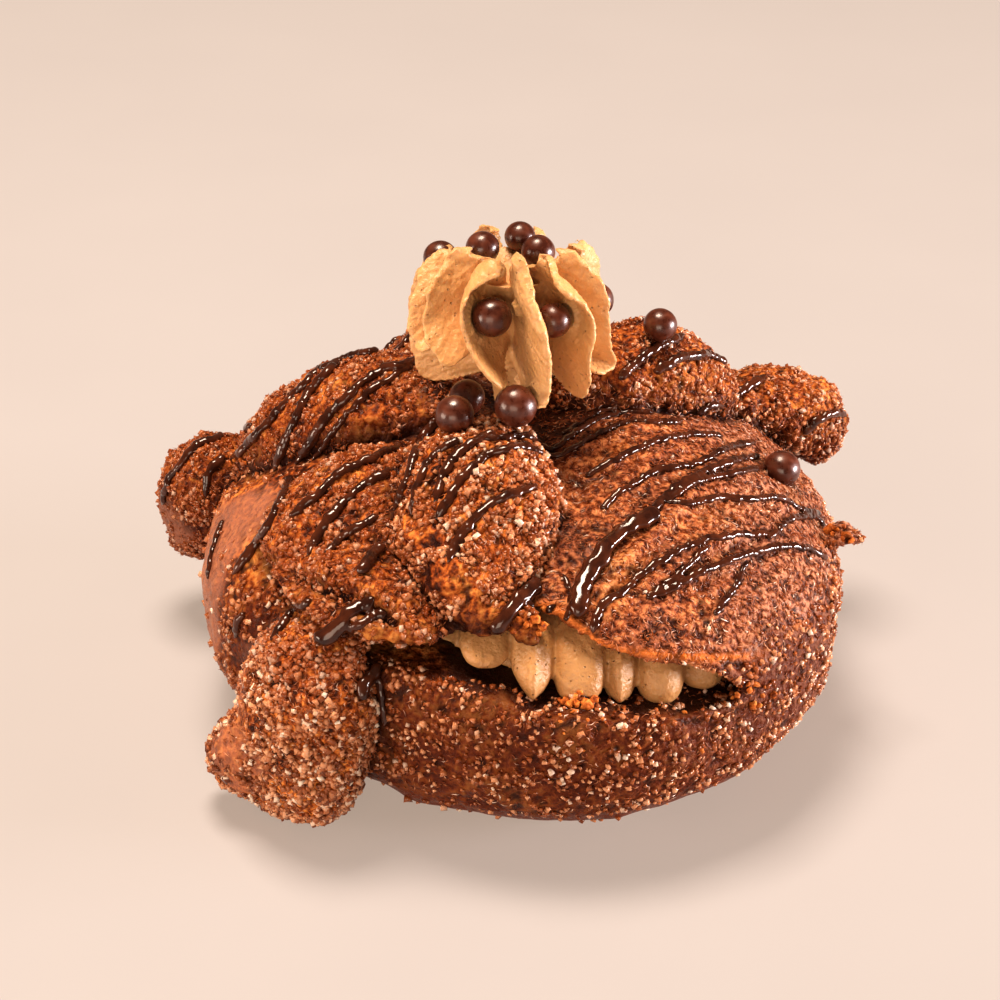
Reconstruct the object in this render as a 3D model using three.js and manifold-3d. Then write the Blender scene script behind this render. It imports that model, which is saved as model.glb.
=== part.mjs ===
// Pan de muerto: a round sweet bun with four baked-on dough bones, cut open like a mouth at the front,
// filled with piped coffee cream and topped with a piped rosette, chocolate pearls and chocolate drizzle.
// Millimetres, +Z up. The origin is the centre of the flat base; the open side of the bun faces -Y.
import * as THREE from "three";
import { mergeVertices } from "three/addons/utils/BufferGeometryUtils.js";
import Module from "manifold-3d";

const wasm = await Module();
wasm.setup();

// ---- Driving dimensions ----
const BUN_RADIUS = 58; // mean radius of the baked bun
const BUN_WAIST = 29; // height of the widest level
const BUN_HEIGHT = 55; // height of the dome where the bones meet
const SLIT_OPENING = 10.5; // height of the mouth where it gapes most
const ROSETTE_HEIGHT = 29.5;
const ROSETTE_RADIUS = 20.5; // across the widest level, above the foot
const PEARL_RADIUS = 3.05; // a crunchy chocolate pearl
const DRIZZLE_RADIUS = 0.85; // a usual strand of chocolate
const SPOON_DIRECTION = 43; // degrees in plan: the spoon passed from the left front to the right back
const CLEARANCE = 0.3; // gap between pieces that touch

// ---- Small helpers ----
const rad = THREE.MathUtils.degToRad;
const { clamp, lerp, smoothstep } = THREE.MathUtils;
const at = (x, y, z) => new THREE.Vector3(x, y, z);
const polar = (radius, degrees, z) =>
  at(radius * Math.cos(rad(degrees)), radius * Math.sin(rad(degrees)), z);
const signedPower = (value, power) => Math.sign(value) * Math.abs(value) ** power;

// A slow three-way ripple in -1..1, which makes hand-shaped dough uneven.
function unevenness(p, wavelength, phase) {
  const k = (2 * Math.PI) / wavelength;
  const xy = Math.sin(k * p.x + phase) * Math.cos(k * 0.83 * p.y - phase);
  const yz = Math.sin(k * 1.13 * p.y + 2.1 * phase) * Math.cos(k * 0.91 * p.z + phase);
  const zx = Math.sin(k * 0.97 * p.z - 1.3 * phase) * Math.cos(k * 1.07 * p.x + 0.7 * phase);
  return (xy + yz + zx) / 3;
}

// A geometry whose shared vertices are merged, as a solid for joining and cutting.
function solidOf(geometry) {
  const bare = new THREE.BufferGeometry().setAttribute("position", geometry.getAttribute("position"));
  if (geometry.index) bare.setIndex(geometry.index);
  const merged = mergeVertices(bare, 1e-4);
  return new wasm.Manifold(
    new wasm.Mesh({
      numProp: 3,
      vertProperties: merged.getAttribute("position").array,
      triVerts: new Uint32Array(merged.index.array),
    }),
  );
}

function geometryOf(solid) {
  const made = solid.getMesh();
  const geometry = new THREE.BufferGeometry();
  geometry.setAttribute("position", new THREE.BufferAttribute(made.vertProperties, 3));
  geometry.setIndex(new THREE.BufferAttribute(made.triVerts, 1));
  return geometry;
}

const join = (solids) => solids.reduce((a, b) => a.add(b));
const largest = (solid) => solid.decompose().reduce((a, b) => (a.volume() > b.volume() ? a : b));

// A solid made from a unit sphere with its poles on Z, each point carried by `place`.
function shapedSphere(round, along, place) {
  const geometry = new THREE.SphereGeometry(1, round, along).rotateX(Math.PI / 2);
  const position = geometry.getAttribute("position");
  for (let i = 0; i < position.count; i++) {
    const p = place(at(0, 0, 0).fromBufferAttribute(position, i));
    position.setXYZ(i, p.x, p.y, p.z);
  }
  return solidOf(geometry);
}

// A value read off a list that is spread evenly over 0..1.
function along01(values, t) {
  const step = t * (values.length - 1);
  const i = Math.min(Math.floor(step), values.length - 2);
  return lerp(values[i], values[i + 1], smoothstep(step - i, 0, 1));
}

// A rounded solid along a spine: half-widths and half-heights are spread evenly over the spine,
// `blunt` under 1 squares off its ends, `lump` roughens it and `across` fixes its wide direction.
function lobe(shape, grow = 0) {
  const { spine, widths, heights, across, lump = 0.8, blunt = 0.8, phase = 0 } = shape;
  const { round = 14, steps = 10 } = shape;
  const curve = new THREE.CatmullRomCurve3(spine);
  return shapedSphere(round, steps, (p) => {
    const t = clamp((1 + p.z) / 2, 0, 1);
    const ring = Math.hypot(p.x, p.y);
    const swell = ring > 0 ? ring ** (blunt - 1) : 0;
    const tangent = curve.getTangent(t);
    const side = (across ? across.clone() : at(-tangent.y, tangent.x, 0)).normalize();
    const up = at(0, 0, 0).crossVectors(tangent, side);
    const radial = side
      .multiplyScalar(p.x * swell * along01(widths, t))
      .addScaledVector(up, p.y * swell * along01(heights, t));
    const point = curve.getPoint(t).add(radial);
    const outward = radial.normalize().multiplyScalar(ring).addScaledVector(tangent, p.z);
    return point.addScaledVector(outward, grow + lump * unevenness(point, 17, phase));
  });
}

// ---- The bun: a superellipse for each half, boxy below the waist and domed above it ----
const BUN_CENTRE = { x: 1.5, y: -0.5 };
const BELOW = { power: 3.2, reach: BUN_WAIST + 2.5 };
const ABOVE = { power: 1.95, reach: BUN_HEIGHT - BUN_WAIST };

// Swellings of the dome between the bones: place in plan, width and height.
const SWELLINGS = [
  { x: 30, y: -12, width: 26, height: 4.5 },
  { x: -34, y: -10, width: 20, height: 2 },
  { x: -2, y: 34, width: 24, height: 4 },
  { x: -15, y: 35, width: 17, height: 16 },
];

function bunRadius(azimuth) {
  const threeSided = -0.035 * Math.cos(3 * azimuth);
  const fiveSided = 0.008 * Math.cos(5 * azimuth + rad(70));
  return BUN_RADIUS * (1 + threeSided + fiveSided);
}

function dough(grow = 0) {
  return shapedSphere(44, 20, (p) => {
    const azimuth = Math.atan2(p.y, p.x);
    const half = p.z > 0 ? ABOVE : BELOW;
    const r = (bunRadius(azimuth) + grow) * Math.hypot(p.x, p.y) ** (2 / half.power);
    const x = BUN_CENTRE.x + r * Math.cos(azimuth);
    const y = BUN_CENTRE.y + r * Math.sin(azimuth);
    let z = BUN_WAIST + (half.reach + grow) * signedPower(p.z, 2 / half.power);
    for (const swelling of SWELLINGS) {
      const away = Math.hypot(x - swelling.x, y - swelling.y) / swelling.width;
      z += Math.max(p.z, 0) * swelling.height * Math.exp(-away * away);
    }
    const point = at(x, y, z);
    point.addScaledVector(p, 0.9 * unevenness(point, 29, 1.7));
    point.z = Math.max(point.z, -grow);
    return point;
  });
}

// ---- The slit: a mouth that runs from the front deep into the bun, widest right of the middle ----
const MOUTH = { x: 2, y: -28, halfWidth: 37, depth: 60 };
const slitHeight = (x) => 37.8 - 0.003 * Math.max(0, x + 12) ** 2;
const slitHalf = (x) => (SLIT_OPENING / 2) * lerp(0.45, 1, smoothstep(x, -18, 6));
const UPPER_LIP = { x: 0, halfWidth: 11, rise: 3.2 }; // where the upper lip arches over the cream
const lipRise = (x) => UPPER_LIP.rise * Math.exp(-(((x - UPPER_LIP.x) / UPPER_LIP.halfWidth) ** 4));

function pocket(grow = 0) {
  return shapedSphere(30, 8, (p) => {
    const azimuth = Math.atan2(p.y, p.x);
    const ring = Math.hypot(p.x, p.y) ** 0.7;
    const x = MOUTH.x + (MOUTH.halfWidth + grow) * ring * Math.cos(azimuth);
    const y = MOUTH.y + (MOUTH.depth + grow) * ring * Math.sin(azimuth);
    const ripple = 0.5 * Math.sin(x / 3.1) * Math.cos(y / 7);
    const half = slitHalf(x) + grow + (p.z > 0 ? lipRise(x) : 0);
    return at(x, y, slitHeight(x) + half * signedPower(p.z, 0.8) + ripple);
  });
}

// Torn crust: a curled flake on the right side, and a chunk of crumb on the lower lip.
const TORN = [
  {
    spine: [at(54, -9, 36), at(58, -8, 38), at(61.5, -7, 35.5)],
    widths: [3, 4, 2],
    heights: [1.5, 1.6, 1],
  },
  {
    spine: [at(6, -50, 29), at(9, -52, 31), at(12, -52, 29)],
    widths: [2, 3, 2],
    heights: [2.5, 3, 2.5],
  },
];

// ---- The dough bones: strips that run down from the top, each with a knob at its end ----
const BONES = {
  bone_front: [
    {
      spine: [at(-4, -7, 58), at(-7, -20, 57), at(-7.5, -33, 51), at(-1.5, -49, 40.5)],
      widths: [9, 14, 15, 12.5],
      heights: [7, 9, 9, 5],
      phase: 1.9,
    },
  ],
  bone_left_back: [
    {
      spine: [at(-8, 3, 57), at(-24, 9, 53), at(-41, 15, 42), at(-53, 17, 32)],
      widths: [10, 15, 15, 9],
      heights: [9, 12, 12, 8],
      phase: 0.4,
    },
    {
      spine: [at(-49, 21, 35), at(-59, 26, 28), at(-62, 30, 11)],
      widths: [7, 10, 9],
      heights: [7, 10, 8],
      phase: 2.2,
    },
  ],
  bone_right_back: [
    {
      spine: [at(4, 5, 58), at(20, 14, 57.5), at(31, 23, 49), at(40, 29, 41)],
      widths: [8, 11, 11, 8],
      heights: [7, 11, 10, 7],
      phase: 1.1,
    },
    {
      spine: [at(32, 23, 46), at(44, 29, 43.5), at(54.5, 31, 40), at(57, 29.5, 32)],
      widths: [9, 8.5, 8.5, 6.5],
      heights: [7, 7.5, 8.5, 6],
      blunt: 0.65,
      phase: 3.0,
    },
  ],
  bone_front_left: [
    {
      spine: [at(-14, -6, 53), at(-24, -16, 50), at(-32, -26, 45), at(-36, -34, 39)],
      widths: [8, 15, 17, 10],
      heights: [6, 8, 8, 5],
      phase: 0.9,
    },
    {
      spine: [at(-42, -25, 42), at(-31, -34, 44.5), at(-21, -42, 43.5), at(-12, -49, 41)],
      widths: [9, 11, 10, 4],
      heights: [4, 6, 5, 3],
      phase: 0.9,
    },
    {
      spine: [at(-31, -37, 43), at(-36, -43, 28), at(-41.5, -40.5, 0.5)],
      widths: [7, 14, 18],
      heights: [6, 10, 9],
      across: at(0.72, -0.69, 0.05),
      blunt: 0.55,
      phase: 2.7,
    },
    {
      spine: [at(-41, -40.5, 17), at(-48, -38.5, 10.5), at(-54.5, -36.5, 6)],
      widths: [8, 6.5, 4],
      heights: [12, 8, 4],
      blunt: 0.6,
      phase: 0.3,
    },
  ],
};

const bone = (name, grow = 0) => join(BONES[name].map((shape) => lobe(shape, grow)));

// ---- The piped rosette: thin fins round a core, swelling out above the foot and closing in at the top ----
const ROSETTE = { x: -1.8, y: 0, z: 61.5, core: 8.5, coreHeight: 26, twist: 20 };
const FIN_AZIMUTHS = [195, 217, 241, 290, 320, 355, 40, 83, 118, 165]; // halfway up, unevenly spread as piped
const ROSETTE_SUNK = 7; // how far the foot is pressed down between the bones, onto the dome
const FIN_HALF_THICKNESS = { core: 3, rim: 1.3 };

function rosette() {
  const foot = at(ROSETTE.x, ROSETTE.y, ROSETTE.z);
  const coreHalf = (ROSETTE.coreHeight + ROSETTE_SUNK) / 2;
  const core = shapedSphere(10, 6, (p) =>
    at(ROSETTE.core * p.x, ROSETTE.core * p.y, coreHalf * (1 + p.z) - ROSETTE_SUNK).add(foot),
  );
  const fins = FIN_AZIMUTHS.map((middle, i) => {
    const tall = ROSETTE_HEIGHT * (0.95 + 0.05 * Math.sin(1.7 * i + 1));
    return shapedSphere(8, 7, (p) => {
      const height = lerp(-ROSETTE_SUNK, tall, (1 + signedPower(p.z, 0.7)) / 2);
      const t = Math.max(0, height / tall); // 0 at the foot and below it, 1 at the tip
      const rim = ROSETTE_RADIUS * (0.72 + 0.95 * t - 1.15 * t * t);
      const reach = lerp(3, rim, (1 + signedPower(p.x, 0.7)) / 2);
      const turn = middle + ROSETTE.twist * (0.5 - t);
      const half = lerp(FIN_HALF_THICKNESS.core, FIN_HALF_THICKNESS.rim, reach / rim);
      const across = polar(half * signedPower(p.y, 0.7), turn + 90, 0);
      return polar(reach, turn, height).add(across).add(foot);
    });
  });
  return join([core, ...fins]);
}

// ---- The cream: a layer through the pocket whose front is a row of piped blobs ----
const BLOBS = [
  { x: -7, halfWidth: 5.6 },
  { x: 2, halfWidth: 5.3 },
  { x: 10.5, halfWidth: 5.8 },
  { x: 18.3, halfWidth: 4.8 },
  { x: 25.6, halfWidth: 5.2 },
  { x: 32.5, halfWidth: 4.2 },
];
const BLOB_SETBACK = 3.5; // from the crust to the front of the blobs
const BLOB_DEPTH = 9; // half the length of a blob, front to back and upright
const LAYER_SETBACK = 9; // from the crust to the layer behind them
const CREAM_COVER = 2; // least distance from the cream to the crust, also where the lip arches

function cream() {
  const cavity = pocket(-CLEARANCE);
  const blobs = BLOBS.map((blob) => {
    const x = blob.x - BUN_CENTRE.x;
    const front = bunRadius(Math.atan2(-BUN_RADIUS, x)) - BLOB_SETBACK;
    const y = BUN_CENTRE.y - Math.sqrt(front * front - x * x) + BLOB_DEPTH;
    const middle = at(blob.x, y, slitHeight(blob.x));
    return shapedSphere(8, 6, (p) => {
      const [deep, tall] = [p.y, p.z].map((value) => BLOB_DEPTH * signedPower(value, 0.8));
      return at(blob.halfWidth * p.x, deep, tall).add(middle);
    });
  });
  const layer = dough(-LAYER_SETBACK);
  return join([layer, ...blobs]).intersect(cavity).intersect(dough(-CREAM_COVER));
}

// ---- Chocolate pearls: on top of the rosette, in its hollows, at its foot and on the bread ----
const PEARLS = [
  { x: -14.5, y: 8.2, z: 84.4, size: 1.0 },
  { x: -7.0, y: 1, z: 89.6, size: 0.96 },
  { x: -0.5, y: 8, z: 88.5, size: 0.9 },
  { x: 2.6, y: 2, z: 88.4, size: 0.98 },
  { x: -5.4, y: -12, z: 82.7, size: 1.12 },
  { x: 5.2, y: -11, z: 81.6, size: 0.98 },
  { x: -9.7, y: -10.2, z: 66.4, size: 1.02 },
  { x: -11.8, y: -17.3, z: 66.7, size: 1.12 },
  { x: -1.3, y: -18, z: 68.8, size: 1.2 },
  { x: 24.8, y: 12, z: 69.3, size: 1.0 },
  { x: 46.7, y: -1, z: 46.9, size: 1.1 },
  { x: 12.9, y: 2.7, z: 78.8, size: 1.0 },
];

function pearl(place, grow = 0) {
  const ball = new THREE.IcosahedronGeometry(PEARL_RADIUS * place.size + grow, 1);
  return solidOf(ball.translate(place.x, place.y, place.z));
}

// ---- Chocolate drizzle: ridges on the bread, all laid in the spoon's direction ----
// `off` is the distance to the left of the spoon's line through the origin, `from` and `to` are
// distances along it, `slant` is how far the strand strays sideways for each millimetre.
const DRIZZLE = {
  bun: [
    { off: -12.5, from: -4, to: 21 },
    { off: -16.5, from: -6, to: 24 },
    { off: -21.8, from: -5, to: 30 },
    { off: -25, from: -8, to: 37, slant: 0.12 },
    { off: -38, from: -25, to: 9, slant: 0.15, radius: 1.4 },
    { off: -35.5, from: 1, to: 39, slant: -0.09 },
    { off: -43.8, from: -24, to: 17 },
    { off: -46.8, from: -12, to: 28 },
    { off: 18, from: -52, to: -39 },
  ],
  bone_front: [
    { off: -12.2, from: -20, to: -13 },
    { off: -4, from: -38, to: -24, slant: 0.6 },
    { off: -10.6, from: -38, to: -22, slant: 0.27, radius: 1.3 },
    { off: -14, from: -36, to: -17, slant: 0.24 },
    { off: -17.5, from: -38, to: -14 },
    { off: -23, from: -40, to: -19 },
    { off: -28.5, from: -38, to: -29, radius: 1.3 },
  ],
  bone_front_left: [
    { off: 7.5, from: -47, to: -23, slant: -0.15 },
    { off: -0.5, from: -50, to: -29 },
    { off: -4, from: -48, to: -38, slant: -0.39 },
    { off: -10.5, from: -49, to: -40, slant: 0.27, radius: 1.2 },
    { off: -11.8, from: -59, to: -52, radius: 1.5 },
  ],
  bone_left_back: [
    { off: 20, from: -28, to: -8 },
    { off: 26, from: -33, to: -12 },
    { off: 33, from: -35, to: -14 },
    { off: 39.5, from: -34, to: -19 },
    { off: 57, from: -32, to: -24 },
  ],
  bone_right_back: [
    { off: -7, from: 15, to: 35, slant: 0.14 },
    { off: -10, from: 22, to: 44, slant: 0.15 },
    { off: -11, from: 46, to: 56 },
    { off: -17.5, from: 57, to: 64 },
  ],
};
const STRAND_STEP = 6;

// The points of a strand, dropped straight down onto what it lies on.
function strandSpine(strand, ground) {
  const steps = Math.max(2, Math.round((strand.to - strand.from) / STRAND_STEP));
  const direction = rad(SPOON_DIRECTION);
  const spine = [];
  for (let i = 0; i <= steps; i++) {
    const run = lerp(strand.from, strand.to, i / steps);
    const stray = (strand.slant ?? 0) * (run - (strand.from + strand.to) / 2);
    const off = strand.off + stray + 0.6 * Math.sin(run / 4 + strand.off);
    const x = run * Math.cos(direction) - off * Math.sin(direction);
    const y = run * Math.sin(direction) + off * Math.cos(direction);
    const [hit] = new THREE.Raycaster(at(x, y, 200), at(0, 0, -1)).intersectObject(ground);
    if (hit) spine.push(hit.point);
  }
  return spine;
}

function drizzle(name, solid, grow = 0) {
  const ground = new THREE.Mesh(geometryOf(solid));
  return join(
    DRIZZLE[name].map((strand) => {
      const spine = strandSpine(strand, ground);
      const r = (strand.radius ?? DRIZZLE_RADIUS) + grow;
      const steps = spine.length + 1;
      return lobe({ spine, widths: [r, r], heights: [r, r], lump: 0, blunt: 0.6, round: 5, steps });
    }),
  );
}

// ---- Assembly: each piece is cut clear of those before it ----
const boneNames = Object.keys(BONES);
const pearlsClear = join(PEARLS.map((place) => pearl(place, CLEARANCE)));
const bonesClear = join(boneNames.map((name) => bone(name, CLEARANCE)));
const wholeBun = dough();
const bunDrizzle = drizzle("bun", wholeBun).subtract(bonesClear);
const tornPieces = (grow = 0) => join(TORN.map((shape) => lobe({ ...shape, round: 8, steps: 6 }, grow)));
const torn = tornPieces();

const solids = {};
solids.bun = largest(wholeBun.subtract(pocket()).add(bunDrizzle).add(torn).subtract(pearlsClear));
const bunDrizzleClear = drizzle("bun", wholeBun, CLEARANCE).subtract(bonesClear);
let taken = join([dough(CLEARANCE), bunDrizzleClear, pearlsClear]);
for (const name of boneNames) {
  const whole = bone(name);
  solids[name] = largest(whole.add(drizzle(name, whole)).subtract(taken));
  taken = join([taken, bone(name, CLEARANCE), drizzle(name, whole, CLEARANCE)]);
}
solids.filling_cream = largest(cream().subtract(tornPieces(CLEARANCE)));
solids.rosette = largest(rosette().subtract(taken));
PEARLS.forEach((place, i) => {
  solids[`pearl_${String(i + 1).padStart(2, "0")}`] = pearl(place);
});

// ---- Materials ----
const crust = new THREE.MeshStandardMaterial({ color: "#9c5429", roughness: 0.65, metalness: 0 });
const coffeeCream = new THREE.MeshStandardMaterial({ color: "#dda768", roughness: 0.5, metalness: 0 });
const chocolate = new THREE.MeshStandardMaterial({ color: "#4a2318", roughness: 0.3, metalness: 0 });

function materialOf(name) {
  if (name.startsWith("pearl")) return chocolate;
  return name === "rosette" || name === "filling_cream" ? coffeeCream : crust;
}

const part = new THREE.Group();
for (const [name, solid] of Object.entries(solids)) {
  const mesh = new THREE.Mesh(geometryOf(solid), materialOf(name));
  mesh.name = name;
  part.add(mesh);
}

export default part;
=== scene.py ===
"""Looks of a filled pan de muerto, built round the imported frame.

Lengths and places are in millimetres and become metres where a mesh, a light or the camera is made.
X is to the right, Y away from the open side of the bun, Z up, and the origin is under the bun.
"""

import math

import bmesh
import bpy
import numpy as np
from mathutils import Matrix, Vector, noise
from mathutils.bvhtree import BVHTree


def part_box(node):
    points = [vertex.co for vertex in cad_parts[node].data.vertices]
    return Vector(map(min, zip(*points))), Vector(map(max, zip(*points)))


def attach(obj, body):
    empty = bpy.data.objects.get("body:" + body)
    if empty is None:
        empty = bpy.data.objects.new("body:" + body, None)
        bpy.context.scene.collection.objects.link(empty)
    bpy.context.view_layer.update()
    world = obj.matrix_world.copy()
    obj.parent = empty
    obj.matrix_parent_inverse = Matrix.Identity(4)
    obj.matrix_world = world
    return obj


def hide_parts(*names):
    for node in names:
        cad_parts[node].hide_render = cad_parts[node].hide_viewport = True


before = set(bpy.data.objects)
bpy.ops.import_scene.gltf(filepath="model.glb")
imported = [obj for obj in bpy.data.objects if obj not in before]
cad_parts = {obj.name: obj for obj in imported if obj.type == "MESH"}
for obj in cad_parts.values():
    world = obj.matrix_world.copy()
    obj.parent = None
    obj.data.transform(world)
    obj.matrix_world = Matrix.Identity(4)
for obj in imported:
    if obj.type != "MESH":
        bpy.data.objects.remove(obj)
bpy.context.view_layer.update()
MM = 0.001
BREADS = ("bun", "bone_front", "bone_left_back", "bone_right_back", "bone_front_left")

# The camera of the photograph, which is 1000 pixels square.
VIEW = {"target": Vector((-4.0, 17.3, 29.9)), "distance": 524.0, "elevation": math.radians(30)}
LENS, SENSOR, PHOTO_SIDE = 100.0, 36.0, 1000
BACKWARD = Vector((0, -math.cos(VIEW["elevation"]), math.sin(VIEW["elevation"])))
EYE = VIEW["target"] + BACKWARD * VIEW["distance"]


def sight(column, row):
    """The way from the camera through a pixel of the photograph."""
    upward = Vector((0, math.sin(VIEW["elevation"]), math.cos(VIEW["elevation"])))
    across = float(column / PHOTO_SIDE - 0.5) * SENSOR / LENS
    down = float(row / PHOTO_SIDE - 0.5) * SENSOR / LENS
    return (across * Vector((1, 0, 0)) - down * upward - BACKWARD).normalized()


# ---- Meshes ----
def read_points(mesh):
    flat = np.empty(len(mesh.vertices) * 3, np.float32)
    mesh.vertices.foreach_get("co", flat)
    return flat.reshape(-1, 3).astype(float) / MM


def read_normals(mesh):
    flat = np.empty(len(mesh.vertices) * 3, np.float32)
    mesh.vertex_normals.foreach_get("vector", flat)
    return flat.reshape(-1, 3).astype(float)


def write_points(mesh, points):
    mesh.vertices.foreach_set("co", (points * MM).astype(np.float32).ravel())
    mesh.update()


def read_triangles(mesh):
    mesh.calc_loop_triangles()
    corners = np.empty(len(mesh.loop_triangles) * 3, np.int32)
    mesh.loop_triangles.foreach_get("vertices", corners)
    return corners.reshape(-1, 3)


def new_piece(name, points, faces):
    """A mesh object from points and an array of faces that all have the same number of corners."""
    mesh = bpy.data.meshes.new(name)
    corners = faces.shape[1]
    mesh.vertices.add(len(points))
    mesh.vertices.foreach_set("co", (points * MM).astype(np.float32).ravel())
    mesh.loops.add(faces.size)
    mesh.loops.foreach_set("vertex_index", faces.astype(np.int32).ravel())
    mesh.polygons.add(len(faces))
    mesh.polygons.foreach_set("loop_start", np.arange(0, faces.size, corners, dtype=np.int32))
    mesh.polygons.foreach_set("use_smooth", np.ones(len(faces), bool))
    mesh.update(calc_edges=True)
    piece = bpy.data.objects.new(name, mesh)
    bpy.context.scene.collection.objects.link(piece)
    return piece


def apply_modifiers(piece):
    bpy.context.view_layer.update()
    depsgraph = bpy.context.evaluated_depsgraph_get()
    rough = piece.data
    finished = bpy.data.meshes.new_from_object(piece.evaluated_get(depsgraph))
    piece.modifiers.clear()
    piece.data = finished
    bpy.data.meshes.remove(rough)
    finished.name = piece.name
    finished.polygons.foreach_set("use_smooth", np.ones(len(finished.polygons), bool))


def remesh(piece, voxel):
    """One closed skin over everything in the piece, with faces about `voxel` across."""
    modifier = piece.modifiers.new("skin", "REMESH")
    modifier.mode = "VOXEL"
    modifier.voxel_size = voxel * MM
    apply_modifiers(piece)


def relax(piece, rounds, strength=0.5):
    """Smooths the skin in turns of drawing in and letting out, so that it keeps its volume."""
    mesh = piece.data
    points = read_points(mesh)
    ends = np.empty(len(mesh.edges) * 2, np.int32)
    mesh.edges.foreach_get("vertices", ends)
    a, b = ends.reshape(-1, 2).T
    count = len(points)
    degree = np.maximum(np.bincount(a, minlength=count) + np.bincount(b, minlength=count), 1)
    for turn in range(2 * rounds):
        step = strength if turn % 2 == 0 else -strength * 1.03
        for axis in range(3):
            value = points[:, axis]
            total = np.bincount(a, value[b], count) + np.bincount(b, value[a], count)
            points[:, axis] = value + step * (total / degree - value)
    write_points(mesh, points)


def joined(parts):
    """Several parts of points and faces as one."""
    points, faces, used = [], [], 0
    for part_points, part_faces in parts:
        points.append(part_points)
        faces.append(part_faces + used)
        used += len(part_points)
    return np.concatenate(points), np.concatenate(faces)


def skin_of(*pieces):
    """The surface of the pieces together, to cast rays at and to find near points on."""
    points, faces = joined([(read_points(p.data), read_triangles(p.data)) for p in pieces])
    return BVHTree.FromPolygons(points.tolist(), faces.tolist())


def ball(subdivisions):
    """Points and triangles of a ball of radius 1."""
    shape = bmesh.new()
    bmesh.ops.create_icosphere(shape, subdivisions=subdivisions, radius=1.0)
    points = np.array([v.co[:] for v in shape.verts])
    faces = np.array([[v.index for v in f.verts] for f in shape.faces])
    shape.free()
    return points, faces


def grid_faces(rows, columns):
    """Triangles between rows of points that each close into a ring, seen from outside."""
    i, j = np.meshgrid(np.arange(rows - 1), np.arange(columns), indexing="ij")
    here, there = i * columns + j, (i + 1) * columns + j
    next_here, next_there = i * columns + (j + 1) % columns, (i + 1) * columns + (j + 1) % columns
    first = np.stack([here, next_here, next_there], axis=-1)
    second = np.stack([here, next_there, there], axis=-1)
    return np.concatenate([first.reshape(-1, 3), second.reshape(-1, 3)])


def capped_tube(rings):
    """A closed solid from rings of points, with its ends closed on their middles."""
    rows, columns, _ = rings.shape
    points = np.concatenate([rings.reshape(-1, 3), rings[:1].mean(axis=1), rings[-1:].mean(axis=1)])
    j = np.arange(columns)
    k = (j + 1) % columns
    last = (rows - 1) * columns
    start = np.stack([np.full(columns, rows * columns), k, j], axis=1)
    end = np.stack([np.full(columns, rows * columns + 1), last + j, last + k], axis=1)
    return points, np.concatenate([grid_faces(rows, columns), start, end])


def copy_node(node, name):
    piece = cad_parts[node].copy()
    piece.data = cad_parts[node].data.copy()
    piece.parent = None
    piece.name = name
    for key in list(piece.keys()):
        del piece[key]
    piece.data.materials.clear()
    bpy.context.scene.collection.objects.link(piece)
    weld = piece.modifiers.new("weld", "WELD")
    weld.merge_threshold = 0.01 * MM
    apply_modifiers(piece)
    return piece


def mark(piece, name, values):
    """Keeps a value for each point, which the materials read by its name."""
    layer = piece.data.attributes.new(name, "FLOAT", "POINT")
    layer.data.foreach_set("value", np.asarray(values, np.float32))


def waves(points, wavelength, octaves, seed):
    """Uneven relief of about -1..1, with lumps of that width and finer ones on them."""
    shift = Vector((seed, 1.7 * seed, 2.3 * seed))
    return np.array([noise.fractal(Vector(p) / wavelength + shift, 1.0, 2.0, octaves) for p in points])


def smooth_between(value, low, high):
    t = np.clip((value - low) / (high - low), 0, 1)
    return t * t * (3 - 2 * t)


def lengths_along(places):
    """The distance along a row of places to each of them."""
    return np.concatenate([[0], np.cumsum(np.linalg.norm(np.diff(places, axis=0), axis=1))])


def at_lengths(wanted, lengths, rows):
    """The rows of values at the wanted lengths, straight between those that are known."""
    return np.stack([np.interp(wanted, lengths, column) for column in rows.T], axis=1)


def evened(values, rounds):
    """A row of values drawn towards their neighbours, with its two ends kept."""
    for _ in range(rounds):
        values[1:-1] = 0.25 * values[:-2] + 0.5 * values[1:-1] + 0.25 * values[2:]
    return values


def noise_along(lengths, wavelength, seed, shift):
    return np.array([noise.noise(Vector((run / wavelength, seed, shift))) for run in lengths])


def settle_onto(piece, trees, reach=1.6, sink=1.2):
    """Draws what is close above a neighbour down into it, so that no gap shows between the two."""
    points = read_points(piece.data)
    for tree in trees:
        for i, p in enumerate(points):
            hit, normal, _, distance = tree.find_nearest(Vector(p), reach)
            if hit is None or (Vector(p) - hit).dot(normal) < 0:
                continue
            pull = 1 - (distance / reach) ** 2
            points[i] += pull * np.array(hit - normal * sink - Vector(p))
    write_points(piece.data, points)


# ---- Shader helpers ----
def link(tree, source, target):
    tree.links.new(source, target)


def node_of(tree, kind, **settings):
    made = tree.nodes.new("ShaderNode" + kind)
    for key, value in settings.items():
        setattr(made, key, value)
    return made


def ramp(tree, factor, stops):
    made = node_of(tree, "ValToRGB")
    elements = made.color_ramp.elements
    while len(elements) < len(stops):
        elements.new(0.5)
    for element, (place, colour) in zip(elements, stops):
        element.position = place
        element.color = (*colour, 1.0)
    link(tree, factor, made.inputs["Fac"])
    return made.outputs["Color"]


def new_group(name, inputs, output):
    """A shader node group with numbers in and one value out, with the nodes at its two ends."""
    tree = bpy.data.node_groups.new(name, "ShaderNodeTree")
    for label, value in inputs.items():
        socket = tree.interface.new_socket(label, in_out="INPUT", socket_type="NodeSocketFloat")
        socket.default_value = value
    tree.interface.new_socket(output, in_out="OUTPUT", socket_type="NodeSocketFloat")
    return tree, tree.nodes.new("NodeGroupInput"), tree.nodes.new("NodeGroupOutput")


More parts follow.
